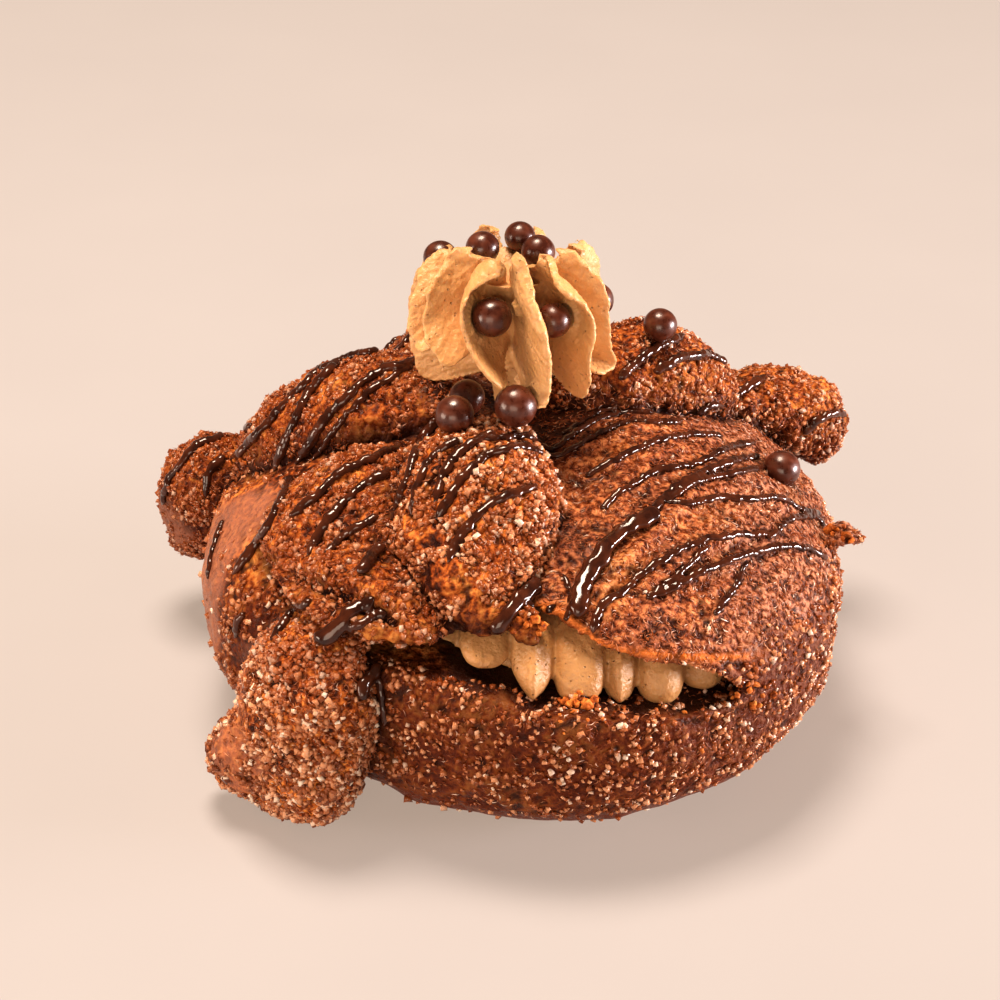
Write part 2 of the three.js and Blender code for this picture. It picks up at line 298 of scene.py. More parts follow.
def sized_texture(tree, kind, width):
    """A texture in object space, with its features as wide as a socket says, in millimetres."""
    scale = node_of(tree, "Math", operation="DIVIDE")
    scale.inputs[0].default_value = 1 / MM
    link(tree, width, scale.inputs[1])
    texture = node_of(tree, kind)
    link(tree, node_of(tree, "TexCoord").outputs["Object"], texture.inputs["Vector"])
    link(tree, scale.outputs[0], texture.inputs["Scale"])
    return texture


def grain_group():
    """Uneven grain, with finer grain on it."""
    tree, entry, leave = new_group("uneven grain", {"Width": 3.0, "Fineness": 3.0}, "Value")
    texture = sized_texture(tree, "TexNoise", entry.outputs["Width"])
    link(tree, entry.outputs["Fineness"], texture.inputs["Detail"])
    link(tree, texture.outputs["Fac"], leave.inputs["Value"])
    return tree


def pits_group():
    """Small round holes, as air leaves in cream or crumb: 1 in a hole and 0 between holes."""
    tree, entry, leave = new_group("air pits", {"Spacing": 2.0, "Size": 0.15}, "Pit")
    texture = sized_texture(tree, "TexVoronoi", entry.outputs["Spacing"])
    edge = node_of(tree, "MapRange")
    link(tree, texture.outputs["Distance"], edge.inputs["Value"])
    edge.inputs["From Min"].default_value = 0.0
    link(tree, entry.outputs["Size"], edge.inputs["From Max"])
    edge.inputs["To Min"].default_value = 1.0
    edge.inputs["To Max"].default_value = 0.0
    link(tree, edge.outputs["Result"], leave.inputs["Pit"])
    return tree


GRAIN = grain_group()
PITS = pits_group()


def new_material(name):
    material = bpy.data.materials.new(name)
    material.use_nodes = True
    tree = material.node_tree
    return material, tree, tree.nodes["Principled BSDF"]


def grain(tree, width, fineness=3.0):
    made = node_of(tree, "Group", node_tree=GRAIN)
    made.inputs["Width"].default_value = width
    made.inputs["Fineness"].default_value = fineness
    return made.outputs["Value"]


def pits(tree, spacing, size):
    made = node_of(tree, "Group", node_tree=PITS)
    made.inputs["Spacing"].default_value = spacing
    made.inputs["Size"].default_value = size
    return made.outputs["Pit"]


def mixed(tree, factor, a, b):
    """Colour a where the factor is 0 and b where it is 1. Either may be a plain colour."""
    made = node_of(tree, "Mix", data_type="RGBA")
    link(tree, factor, made.inputs["Factor"])
    for value, socket in ((a, made.inputs[6]), (b, made.inputs[7])):
        if isinstance(value, tuple):
            socket.default_value = (*value, 1.0)
        else:
            link(tree, value, socket)
    return made.outputs[2]


def arithmetic(tree, operation, *values):
    made = node_of(tree, "Math", operation=operation)
    for i, value in enumerate(values):
        if isinstance(value, (int, float)):
            made.inputs[i].default_value = value
        else:
            link(tree, value, made.inputs[i])
    return made.outputs[0]


def marked(tree, name):
    return node_of(tree, "Attribute", attribute_name=name).outputs["Fac"]


def bumped(tree, shader, height, depth):
    """Bump whose full height is `depth` millimetres."""
    made = node_of(tree, "Bump")
    made.inputs["Distance"].default_value = depth * MM
    link(tree, height, made.inputs["Height"])
    link(tree, made.outputs["Normal"], shader.inputs["Normal"])


# ---- Materials ----
SYRUP_BROWN = (0.36, 0.078, 0.012)  # crystals and crumb that have drawn up syrup
PIT_SHADE = (0.012, 0.003, 0.002)
# What a mark on the crust lays over its brown: how much of it, and its colour.
CRUST_MARKS = {
    # The dark mark: darker bake, with painted shade on steep faces and on the bun's front below its mouth.
    "dark": (1.0, (0.095, 0.015, 0.003)),
    "smear": (0.8, (0.40, 0.165, 0.10)),
    "base": (1.0, (0.15, 0.025, 0.004)),
    "torn": (1.0, (0.62, 0.18, 0.035)),
    # Painted shade in the hollows of the crags, near other pieces and in the fold.
    "crease_shade": (1.0, (0.030, 0.006, 0.003)),
}


def baked_crust():
    """Brown crust with cinnamon: painted shade in its creases, orange where it is thin, smooth where
    smeared.
    """
    material, tree, shader = new_material("baked_crust")
    tone = grain(tree, 9.0, 2.0)
    fleck = grain(tree, 1.1, 4.0)
    blend = arithmetic(tree, "MULTIPLY_ADD", tone, 0.4, arithmetic(tree, "MULTIPLY", fleck, 0.6))
    stops = [
        (0.39, (0.040, 0.007, 0.002)),
        (0.47, (0.26, 0.053, 0.009)),
        (0.53, (0.58, 0.165, 0.030)),
        (0.64, (0.90, 0.38, 0.10)),
    ]
    brown = ramp(tree, blend, stops)
    # Pinkish brown where ruddy; on the dome it also paints the cool reflection of the window light.
    pinkish_stops = [
        (0.42, (0.08, 0.02, 0.01)),
        (0.5, (0.28, 0.105, 0.06)),
        (0.6, (0.52, 0.25, 0.16)),
    ]
    brown = mixed(tree, marked(tree, "ruddy"), brown, ramp(tree, fleck, pinkish_stops))
    for name, (amount, colour) in CRUST_MARKS.items():
        brown = mixed(tree, arithmetic(tree, "MULTIPLY", marked(tree, name), amount), brown, colour)
    # The air pits are near black: painted shade in the holes.
    hole = pits(tree, 7.0, 0.09)
    brown = mixed(tree, hole, brown, PIT_SHADE)
    link(tree, brown, shader.inputs["Base Color"])
    sheen = ramp(tree, fleck, [(0.38, (0.22, 0.22, 0.22)), (0.62, (0.52, 0.52, 0.52))])
    link(tree, sheen, shader.inputs["Roughness"])
    shader.inputs["Coat Weight"].default_value = 0.03
    shader.inputs["Coat Roughness"].default_value = 0.08
    shader.inputs["Specular IOR Level"].default_value = 0.13
    bumped(tree, shader, arithmetic(tree, "SUBTRACT", fleck, hole), 1.0)
    return material


def crumb_fibre():
    """Wisps of baked crumb that stand on the crust, wet with syrup."""
    material, tree, shader = new_material("crumb_fibre")
    island = node_of(tree, "NewGeometry").outputs["Random Per Island"]
    # The palest wisps, near white, are painted glints.
    stops = [
        (0.0, (0.13, 0.024, 0.007)),
        (0.5, (0.40, 0.125, 0.050)),
        (0.88, (0.72, 0.36, 0.20)),
        (1.0, (1.0, 0.84, 0.72)),
    ]
    colour = mixed(tree, marked(tree, "syrup"), ramp(tree, island, stops), SYRUP_BROWN)
    link(tree, colour, shader.inputs["Base Color"])
    shader.inputs["Roughness"].default_value = 0.2
    shader.inputs["Specular IOR Level"].default_value = 0.35
    return material


def sugar_crystal():
    material, tree, shader = new_material("sugar_crystal")
    island = node_of(tree, "NewGeometry").outputs["Random Per Island"]
    # The palest crystals, near white, are pale sugar with painted glints.
    stops = [
        (0.0, (0.16, 0.032, 0.007)),
        (0.4, (0.48, 0.155, 0.052)),
        (0.82, (0.88, 0.44, 0.235)),
        (1.0, (1.0, 0.86, 0.72)),
    ]
    colour = mixed(tree, marked(tree, "syrup"), ramp(tree, island, stops), SYRUP_BROWN)
    link(tree, colour, shader.inputs["Base Color"])
    shader.inputs["Roughness"].default_value = 0.12
    shader.inputs["Transmission Weight"].default_value = 0.2
    shader.inputs["Specular IOR Level"].default_value = 0.4
    return material


def poured_chocolate():
    material, tree, shader = new_material("poured_chocolate")
    tone = grain(tree, 2.5)
    dark = ramp(tree, tone, [(0.35, (0.032, 0.007, 0.003)), (0.7, (0.095, 0.024, 0.009))])
    link(tree, dark, shader.inputs["Base Color"])
    shader.inputs["Roughness"].default_value = 0.16
    shader.inputs["Specular IOR Level"].default_value = 0.3
    shader.inputs["Coat Weight"].default_value = 0.45
    shader.inputs["Coat Roughness"].default_value = 0.04
    return material


def coffee_cream(name, light, deep):
    material, tree, shader = new_material(name)
    tone = grain(tree, 5.0)
    body = ramp(tree, tone, [(0.35, deep), (0.65, light)])
    hole = pits(tree, 1.3, 0.17)
    # The pits are darker: painted shade in the holes.
    body = mixed(tree, arithmetic(tree, "MULTIPLY", hole, 0.75), body, tuple(0.4 * c for c in deep))
    link(tree, body, shader.inputs["Base Color"])
    shader.inputs["Roughness"].default_value = 0.38
    shader.inputs["Subsurface Weight"].default_value = 0.15
    shader.inputs["Subsurface Radius"].default_value = (1.0, 0.5, 0.2)
    shader.inputs["Subsurface Scale"].default_value = 1.2 * MM
    relief = arithmetic(tree, "SUBTRACT", grain(tree, 0.9, 5.0), hole)
    bumped(tree, shader, relief, 0.35)
    return material


def chocolate_shell():
    """The polished shell of a pearl, slightly dulled in patches by handling."""
    material, tree, shader = new_material("chocolate_shell")
    bloom = grain(tree, 1.6)
    brown = ramp(tree, bloom, [(0.35, (0.055, 0.010, 0.004)), (0.7, (0.125, 0.029, 0.011))])
    link(tree, brown, shader.inputs["Base Color"])
    dulled = ramp(tree, bloom, [(0.4, (0.26, 0.26, 0.26)), (0.7, (0.46, 0.46, 0.46))])
    link(tree, dulled, shader.inputs["Roughness"])
    shader.inputs["Coat Weight"].default_value = 0.3
    shader.inputs["Coat Roughness"].default_value = 0.12
    bumped(tree, shader, grain(tree, 0.5), 0.03)
    return material


CRUST = baked_crust()
FIBRE = crumb_fibre()
CRYSTAL = sugar_crystal()
CHOCOLATE = poured_chocolate()
ROSETTE_CREAM = coffee_cream("rosette_cream", (0.70, 0.41, 0.188), (0.61, 0.335, 0.137))
FILLING_CREAM = coffee_cream("filling_cream", (0.57, 0.31, 0.13), (0.46, 0.23, 0.085))
SHELL = chocolate_shell()

# ---- The mouth of the bun, as it is cut in the frame ----
BUN_CENTRE = (1.5, -0.5)
BUN_RADIUS = 58.0
BUN_WAIST = 29.0
DOME_REACH = 26.0
DOME_POWER = 1.95
SLIT_OPENING = 10.5
UPPER_LIP = {"x": 0.0, "half_width": 11.0, "rise": 3.2}


def slit_height(x):
    return 37.8 - 0.003 * np.maximum(0, x + 12) ** 2


def slit_half(x):
    return SLIT_OPENING / 2 * (0.45 + 0.55 * smooth_between(x, -18, 6))


def upper_lip(x):
    rise = UPPER_LIP["rise"] * np.exp(-(((x - UPPER_LIP["x"]) / UPPER_LIP["half_width"]) ** 4))
    return slit_height(x) + slit_half(x) + rise


def lower_lip(x):
    return slit_height(x) - slit_half(x)


# ---- Bread: each dough node with a craggy baked crust ----
# For each piece of dough: its voxel, the height of its crags, how dark it is, as darker bake and as painted
# shade that grows on its steep faces, how much chocolate is wiped over it, how high its smooth base reaches
# and how its pattern is shifted.
BAKING = {
    "bun": {"voxel": 0.65, "crag": 0.42, "dark": 0.0, "wiped": 1.0, "base": 12.0, "seed": 3.0},
    "bone_front": {"voxel": 0.45, "crag": 0.65, "dark": 0.2, "wiped": 0.1, "base": 5.0, "seed": 14.0},
    "bone_left_back": {"voxel": 0.5, "crag": 0.65, "dark": 0.85, "wiped": 0.8, "base": 5.0, "seed": 25.0},
    "bone_right_back": {"voxel": 0.45, "crag": 0.7, "dark": 0.6, "wiped": 0.9, "base": 5.0, "seed": 36.0},
    "bone_front_left": {"voxel": 0.5, "crag": 0.65, "dark": 0.35, "wiped": 0.8, "base": 5.0, "seed": 47.0},
}
LUMP = {"width": 9.0, "height": 0.55}
CRAG_WIDTH = 2.2
PATCH_WIDTH = 20.0  # of the patches in which the crust changes
CREVICE = 4.5  # how far from a neighbour the painted shade on the crust still reaches
# How the crust changes over the bread. Each pair is a range: to the right in X, up in Z, forward in front of
# the middle or backward behind it.
DOME = {"right": (-30, -6), "up": (33, 42)}
# Ruddy is pinkish brown; on the dome it also paints the cool reflection of the window light.
RUDDY = {"right": (12, 42), "up": (6, 20), "side": 0.85, "dome": 0.45}
# The bun's front below its mouth is darker, as painted shade.
DARK_FRONT = {"forward": (0, 35), "top": (32, 40), "amount": 0.8}
DARK_BACK = {"backward": (5, 30), "amount": 0.45}
KNOB_TOP = (30, 38)  # the front left bone's knob is below, and isn't dark
TORN_LIP = {"edge": 0.5, "forward": (22, 32), "begins": (-10, 0), "ends": (36, 42)}
TORN_BONE = {"forward": (49, 53), "amount": 0.5}
ROUNDING = 24  # turns of smoothing that take the ridges off a piece of dough
# The torn tip that hangs from the front bone: a pixel of the photograph on the bone, and its lumps, by how
# many pixels they are right of it and below it, and their radius.
TORN_TIP = {
    "from": (512, 606),
    "lumps": [
        (-16, 6, 2.3), (-6, 10, 2.3), (4, 14, 2.3), (13, 14, 2.2),
        (20, 22, 2.0), (12, 26, 2.0), (22, 33, 1.5),
    ],
}
# The fold between the band and the knob of the front left bone, pressed in and dark with painted shade, by
# pixels of the photograph, and its width and depth.
FOLD = {
    "node": "bone_front_left",
    "along": [(284, 572), (297, 577), (328, 588), (349, 594), (375, 609), (391, 619)],
    "width": 2.2,
    "depth": 3.0,
}
# Where warm chocolate has been wiped over the crust: place and radius.
WIPES = [
    {"at": (-54, -8, 28), "radius": 17},
    {"at": (-50, -10, 40), "radius": 12},
    {"at": (-50, -36, 26), "radius": 9},
    {"at": (-49, -44, 13), "radius": 8},
    {"at": (-66, 24, 22), "radius": 8},
]


def fold_places():
    """Points close together along the fold, on the skin of the bone."""
    skin = skin_of(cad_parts[FOLD["node"]])
    ends = np.array(FOLD["along"], float)
    steps = np.linspace(0, len(ends) - 1, 80)
    pixels = at_lengths(steps, np.arange(len(ends)), ends)
    return np.array([skin.ray_cast(EYE, sight(*pixel))[0] for pixel in pixels])


FOLD_PLACES = fold_places()


def in_fold(points, node):
    """How far each point lies in the fold, from 0 to 1."""
    if node != FOLD["node"]:
        return np.zeros(len(points))
    away = np.linalg.norm(points[:, None, :] - FOLD_PLACES[None, :, :], axis=2).min(axis=1)
    return np.exp(-((away / FOLD["width"]) ** 2))


def on_dome(places, node):
    """1 on the upper right of the bun, where the crust is fibrous, and 0 elsewhere."""
    x, _, z = places.T
    return smooth_between(z, *DOME["up"]) * smooth_between(x, *DOME["right"]) * (node == "bun")


def crust_state(points, out, node):
    """How far each point is smeared, part of the base, dark, ruddy or torn, each from 0 to 1.

    The bun is dark behind, and dark below its mouth in front as painted shade. It is ruddy at the right and
    on its dome, where the pinkish tint also paints the cool reflection of the window light, and torn along
    its upper lip. A bone is baked dark, and darker on its steep sides as painted shade. All are smeared
    where warm chocolate was wiped on.
    """
    x, y, z = points.T
    seed = BAKING[node]["seed"]
    patches = waves(points, PATCH_WIDTH, 2, seed + 9)
    wiped = np.zeros(len(points))
    for wipe in WIPES:
        away = np.linalg.norm(points - np.array(wipe["at"]), axis=1) / wipe["radius"]
        wiped = np.maximum(wiped, np.exp(-(away ** 2)))
    smear = BAKING[node]["wiped"] * smooth_between(0.25 * patches + wiped, 0.35, 0.65)
    base_top = BAKING[node]["base"]
    base = 1 - smooth_between(z + 2.5 * patches, base_top - 4, base_top)
    right = smooth_between(x + 6 * patches, *RUDDY["right"]) * (node == "bun")
    side = RUDDY["side"] * right * smooth_between(z, *RUDDY["up"])
    ruddy = np.maximum(side, RUDDY["dome"] * on_dome(points, node))
    # Steep faces, and the bun's front below its mouth, are darkened as painted shade.
    steep = 1 - smooth_between(out[:, 2], -0.1, 0.7)
    below_mouth = 1 - smooth_between(z + 4 * patches, *DARK_FRONT["top"])
    front = smooth_between(-y, *DARK_FRONT["forward"]) * below_mouth * (node == "bun")
    knob = 1 - smooth_between(z, *KNOB_TOP)
    bake_and_slope_shade = BAKING[node]["dark"] * (0.35 + 0.65 * steep) * (1 - knob * (node == "bone_front_left"))
    back = smooth_between(y, *DARK_BACK["backward"]) * (node == "bun")
    dark = bake_and_slope_shade + DARK_FRONT["amount"] * front + DARK_BACK["amount"] * back
    at_edge = np.exp(-(((z - upper_lip(x)) / TORN_LIP["edge"]) ** 2))
    in_front = smooth_between(-y, *TORN_LIP["forward"])
    along = smooth_between(x, *TORN_LIP["begins"]) * (1 - smooth_between(x, *TORN_LIP["ends"]))
    torn = at_edge * in_front * along * (node == "bun")
    if node == "bone_front":
        at_tip = smooth_between(-y, *TORN_BONE["forward"])
        torn = TORN_BONE["amount"] * at_tip * smooth_between(patches, -0.3, 0.3)
    return {"smear": smear, "base": base, "dark": dark, "ruddy": ruddy, "torn": torn}


def neighbour_shade(points, node):
    """Painted shade near other pieces: 1 where one touches, falling to 0 where it is as far away as CREVICE.
    """
    near = [name for name in (*BREADS, "rosette", "filling_cream") if name != node]
    others = skin_of(*[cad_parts[name] for name in near])
    gaps = [others.find_nearest(Vector(p), CREVICE)[3] for p in points]
    shade = np.array([0 if gap is None else (1 - gap / CREVICE) for gap in gaps])
    on_upper_lip = (points[:, 1] < -20) * smooth_between(points[:, 2] - slit_height(points[:, 0]), 0, 3)
    return shade * (1 - on_upper_lip * (node == "bun") * smooth_between(points[:, 0], -6, 0))


def with_torn_tip(piece):
    """The front bone with its torn tip, still as separate shells."""
    start = skin_of(piece).ray_cast(EYE, sight(*TORN_TIP["from"]))[0]
    round_points, round_faces = ball(3)
    parts = [(read_points(piece.data), read_triangles(piece.data))]
    for right, below, radius in TORN_TIP["lumps"]:
        column, row = TORN_TIP["from"][0] + right, TORN_TIP["from"][1] + below
        centre = EYE + sight(column, row) * (start - EYE).length
        parts.append((round_points * radius + np.array(centre), round_faces))
    bpy.data.objects.remove(piece)
    return new_piece("bone_front_bread", *joined(parts))


def bake(node, settled_on):
    baking = BAKING[node]
    piece = copy_node(node, node + "_bread")
    if node == "bone_front":
        piece = with_torn_tip(piece)
    remesh(piece, baking["voxel"])
    relax(piece, ROUNDING)
    settle_onto(piece, settled_on)
    relax(piece, 2)
    points = read_points(piece.data)
    normals = read_normals(piece.data)
    state = crust_state(points, normals, node)
    lumps = waves(points, LUMP["width"], 2, baking["seed"])
    crags = waves(points, CRAG_WIDTH, 4, baking["seed"] + 5)
    rough = 1 - np.maximum(0.65 * state["smear"], 0.85 * state["base"])
    relief = LUMP["height"] * lumps + baking["crag"] * crags * rough
    # Painted shade in the hollows of the crags, near other pieces and in the fold.
    crease_shade = np.maximum(0.9 * smooth_between(-crags, 0.15, 0.65) * rough, neighbour_shade(points, node))
    fold = in_fold(points, node)
    relief -= FOLD["depth"] * fold
    crease_shade = np.maximum(crease_shade, fold)
    points += normals * relief[:, None]
    points[:, 2] = np.maximum(points[:, 2], 0.02)
    write_points(piece.data, points)
    mark(piece, "crease_shade", crease_shade)
    for name, values in state.items():
        mark(piece, name, values)
    piece.data.materials.append(CRUST)
    return piece


breads = {}
for name in BREADS:
    breads[name] = bake(name, [skin_of(breads[n]) for n in breads])
skins = {name: skin_of(piece) for name, piece in breads.items()}
all_bread = skin_of(*breads.values())

# ---- Chocolate drizzle ----
# Strands from the dome to the left: the radius, and the pixels of the photograph that each passes through.
SEEN_STRANDS = [
    (0.7, [(480, 440), (526, 436), (554, 453), (564, 441), (595, 421), (623, 413), (656, 413)]),
    (0.7, [(480, 459), (495, 449), (526, 448), (556, 459), (590, 439), (623, 423), (684, 422)]),
    (0.5, [(562, 436), (575, 425), (600, 412), (622, 404)]),
    (0.7, [(585, 477), (623, 456), (658, 440), (697, 434), (725, 437)]),
    (0.7, [(600, 510), (623, 490), (658, 469), (697, 464), (725, 449), (755, 442)]),
    (1.55, [(579, 620), (582, 584), (602, 553), (628, 530), (658, 513)]),
    (0.8, [(650, 512), (676, 487), (700, 474), (730, 462), (760, 456)]),
    (0.7, [(664, 502), (692, 505), (715, 497), (748, 500), (781, 497), (799, 510), (822, 515)]),
    (0.7, [(592, 634), (600, 606), (623, 592), (646, 569), (674, 553), (710, 538), (771, 533)]),
    (0.65, [(646, 600), (678, 575), (697, 556), (712, 542)]),
    (0.7, [(656, 597), (702, 571), (750, 553), (781, 546), (809, 548), (829, 561)]),
    (0.7, [(768, 540), (786, 521), (812, 515), (826, 528)]),
    (0.55, [(714, 616), (733, 588), (749, 560)]),
    (0.7, [(670, 500), (690, 483), (712, 478), (742, 472), (770, 466)]),
    (0.9, [(436, 417), (418, 445), (411, 473), (395, 512)]),
    (0.9, [(459, 438), (431, 458), (418, 486), (411, 519)]),
    (0.95, [(495, 432), (462, 450), (444, 473), (434, 506)]),
    (0.9, [(530, 445), (487, 455), (462, 478), (434, 522)]),
    (0.9, [(536, 486), (500, 499), (469, 522), (446, 565)]),
    (0.9, [(405, 445), (372, 458), (339, 473), (319, 494), (288, 519)]),
    (0.9, [(393, 471), (367, 483), (342, 504), (319, 532), (308, 560)]),
    (0.9, [(380, 517), (352, 530), (324, 555)]),
    (1.2, [(385, 545), (370, 560), (357, 578)]),
    (0.9, [(293, 476), (273, 519), (258, 542), (232, 578)]),
    (0.9, [(393, 348), (354, 356), (319, 371), (288, 402), (232, 463)]),
    (0.95, [(426, 359), (380, 371), (357, 387), (329, 415), (293, 468)]),
    (0.65, [(412, 366), (367, 392), (335, 430), (312, 463)]),
    (0.9, [(367, 353), (339, 361), (309, 392), (283, 448), (275, 473)]),
    (0.9, [(252, 427), (227, 433), (194, 448), (168, 481), (163, 507)]),
    (0.9, [(224, 455), (209, 471), (204, 499)]),
    (0.6, [(224, 520), (216, 540), (211, 560), (208, 582)]),
    (0.8, [(245, 612), (238, 624), (236, 640)]),
    (0.6, [(407, 328), (393, 335), (389, 346)]),
    (0.9, [(618, 380), (637, 361), (656, 348), (687, 334)]),
    (0.9, [(653, 373), (672, 361), (687, 355), (710, 355), (725, 363)]),
    (0.9, [(695, 413), (710, 405), (725, 407)]),
    (0.9, [(737, 394), (752, 384), (767, 375)]),
    (0.9, [(802, 434), (817, 419), (836, 411), (848, 419)]),
    (1.5, [(378, 600), (356, 610), (334, 628), (318, 647)]),
    (0.9, [(388, 612), (359, 624), (339, 639)]),
    (0.9, [(313, 601), (295, 609), (278, 632), (270, 644)]),
    (1.3, [(384, 667), (367, 675), (354, 695), (370, 701)]),
    (0.8, [(378, 676), (384, 700), (385, 729)]),
    (1.5, [(493, 640), (500, 620), (518, 599), (539, 581)]),
    (0.75, [(518, 607), (536, 606), (546, 612), (562, 604)]),
    (0.7, [(568, 622), (572, 590), (560, 572)]),
]
SPOON_DIRECTION = math.radians(43)
# Strands on the far side, in the spoon's direction: distance to its left, and where each begins and ends.
FAR_STRANDS = [(4, 12, 40), (12, 8, 44), (19, 14, 41), (27, 2, 38), (34, -4, 34), (42, 0, 30)]
FAR_RADIUS = 0.9
THICK_FROM = 1.0  # the radius above which a strand is thick
# A thin strand beads and thins out at its end. A thick one runs smooth, stands higher and ends round.
THIN_STRAND = {"evening": 6, "taper": 2.5, "beading": 0.3, "lift": 0.35}
THICK_STRAND = {"evening": 24, "taper": 1.0, "beading": 0.0, "lift": 0.6}
STRAND_STEP = 0.5
STRAND_SIDES = 10
DRIZZLE_VOXEL = 0.24
PIXEL_STEP = 2.0
GAP_IN_STRAND = 8.0  # a strand breaks off where the bread drops away by more than this


def seen_places(through):
    """Where the lines of sight through a row of pixels meet the bread."""
    ends = np.array(through, float)
    lengths = lengths_along(ends)
    pixels = at_lengths(np.arange(0, lengths[-1], PIXEL_STEP), lengths, ends)
    return [all_bread.ray_cast(EYE, sight(*pixel))[:2] for pixel in evened(pixels, 6)]


def far_places(off, first, last):
    """Where a straight strand meets the bread, when dropped straight down onto it."""
    places = []
    for run in np.arange(first, last, STRAND_STEP):
        aside = off + 0.8 * math.sin(run / 5 + off)
        x = run * math.cos(SPOON_DIRECTION) - aside * math.sin(SPOON_DIRECTION)
        y = run * math.sin(SPOON_DIRECTION) + aside * math.cos(SPOON_DIRECTION)
        places.append(all_bread.ray_cast(Vector((x, y, 200)), Vector((0, 0, -1)))[:2])
    return places


def unbroken(places):
    """The stretches of a strand between the places where the bread drops away."""
    stretch, stretches = [], []
    for hit, out in places:
        if hit is None or (stretch and (hit - stretch[-1][0]).length > GAP_IN_STRAND):
            stretches.append(stretch)
            stretch = []
        if hit is not None:
            stretch.append((hit, out))
    stretches.append(stretch)
    return [s for s in stretches if len(s) > 3]


def even_steps(stretch):
    """Evenly spaced points of a stretch, the way out of the bread at each, and the distance to each."""
    centre = np.array([hit for hit, _ in stretch])
    outward = np.array([out for _, out in stretch])
    lengths = lengths_along(centre)
    wanted = np.arange(0, lengths[-1], STRAND_STEP)
    return at_lengths(wanted, lengths, centre), evened(at_lengths(wanted, lengths, outward), 12), wanted


def strand_tube(stretch, radius, seed):
    """A strand that swells and wavers as it cools."""
    centre, outward, travelled = even_steps(stretch)
    kind = THICK_STRAND if radius > THICK_FROM else THIN_STRAND
    centre = evened(centre, kind["evening"])
    forward = np.gradient(centre, axis=0)
    forward /= np.linalg.norm(forward, axis=1)[:, None]
    across = np.cross(forward, outward)
    across /= np.linalg.norm(across, axis=1)[:, None]
    outward = np.cross(across, forward)
    bead = noise_along(travelled, 0.8, seed, 3.0)
    swell = noise_along(travelled, 6.0, seed, 9.0)
    waver = noise_along(travelled, 1.5, seed, 15.0)
    left = travelled[-1] - travelled
    taper = kind["taper"] * radius
    ends = np.sqrt(np.clip(np.minimum(travelled / radius, left / taper), 0.02, 1))
    beading = kind["beading"] / radius
    size = radius * (1 + beading * bead + 0.35 * swell) * ends
    lifted = kind["lift"] * radius
    centre = centre + (0.45 * waver)[:, None] * across + lifted * outward
    turn = np.linspace(0, 2 * np.pi, STRAND_SIDES, endpoint=False)[None, :, None]
    ring = np.cos(turn) * across[:, None, :] + 0.8 * np.sin(turn) * outward[:, None, :]
    return capped_tube(centre[:, None, :] + size[:, None, None] * ring)


def pour():
    tubes = []
    for order, (radius, through) in enumerate(SEEN_STRANDS):
        for stretch in unbroken(seen_places(through)):
            tubes.append(strand_tube(stretch, radius, 1.7 * order))
    for off, first, last in FAR_STRANDS:
        for stretch in unbroken(far_places(off, first, last)):
            tubes.append(strand_tube(stretch, FAR_RADIUS, off))
    piece = new_piece("chocolate_drizzle", *joined(tubes))
    remesh(piece, DRIZZLE_VOXEL)
    relax(piece, 2)
    piece.data.materials.append(CHOCOLATE)
    return piece


drizzle = pour()
drizzle_skin = skin_of(drizzle)

# ---- Sugar and crumb: grains thrown on by a seeded draw ----
GRAIN_CORNERS = np.array([(x, y, z) for x in (-1, 1) for y in (-1, 1) for z in (-1, 1)], float)
GRAIN_FACES = np.array([
    (0, 1, 3, 2), (4, 6, 7, 5), (0, 4, 5, 1), (2, 3, 7, 6), (0, 2, 6, 4), (1, 5, 7, 3),
])
# For each piece of dough: how many crystals it has and their sizes, how much of its sugar its upper side
# has lost, how far sugar and crumb are soaked in syrup low down and high up, and how many wisps it has.
SUGAR = {
    "bun": {"count": 15500, "size": (0.55, 1.1), "lost": 0.3, "syrup": (0.2, 0.3), "wisps": 31000},
    "bone_front": {"count": 4600, "size": (0.6, 1.2), "lost": 0.3, "syrup": (0.05, 0.25), "wisps": 2000},
    "bone_left_back": {"count": 4000, "size": (0.5, 1), "lost": 0.35, "syrup": (0.55, 0.6), "wisps": 5000},
    "bone_right_back": {"count": 2800, "size": (0.5, 1), "lost": 0.3, "syrup": (0.45, 0.3), "wisps": 3500},
    "bone_front_left": {"count": 8500, "size": (0.6, 1.2), "lost": 0.6, "syrup": (0.0, 0.5), "wisps": 6000},
}
GRAINS_DRAWN = 2.4  # places drawn for each grain that is wanted, as many are refused
IN_CHOCOLATE = 0.15  # a grain lower than this over the drizzle is left out
IN_DOUGH = 0.25  # and so is one lower than this over another piece of dough
CLUMP_WIDTH = 4.5
SUGAR_LINE = (32, 44)  # heights between which a piece of dough loses sugar
FEWER_BEHIND = (-25, 15)  # Y between which the bun's sugar thins out
SYRUP_LINE = (28, 38)  # heights between which low down turns into high up
CRUST_THICKNESS = 7.0
MOUTH_BACK = 35.0
# A sliver: its two tips, and three corners round its middle.
SLIVER_CORNERS = np.array([(-1, 0, 0), (1, 0, 0), (0, 1, 0), (0, -0.5, 0.87), (0, -0.5, -0.87)])
SLIVER_FACES = np.array([(2, 3, 1), (3, 4, 1), (4, 2, 1), (3, 2, 0), (4, 3, 0), (2, 4, 0)])


def unit(vectors):
    return vectors / np.linalg.norm(vectors, axis=-1)[..., None]


def random_turns(draw, count):
    """Random rotations, as matrices made from unit quaternions."""
    w, x, y, z = unit(draw.normal(size=(count, 4))).T
    rows = [
        [1 - 2 * (y * y + z * z), 2 * (x * y - z * w), 2 * (x * z + y * w)],
        [2 * (x * y + z * w), 1 - 2 * (x * x + z * z), 2 * (y * z - x * w)],
        [2 * (x * z - y * w), 2 * (y * z + x * w), 1 - 2 * (x * x + y * y)],
    ]
    return np.array(rows).transpose(2, 0, 1)


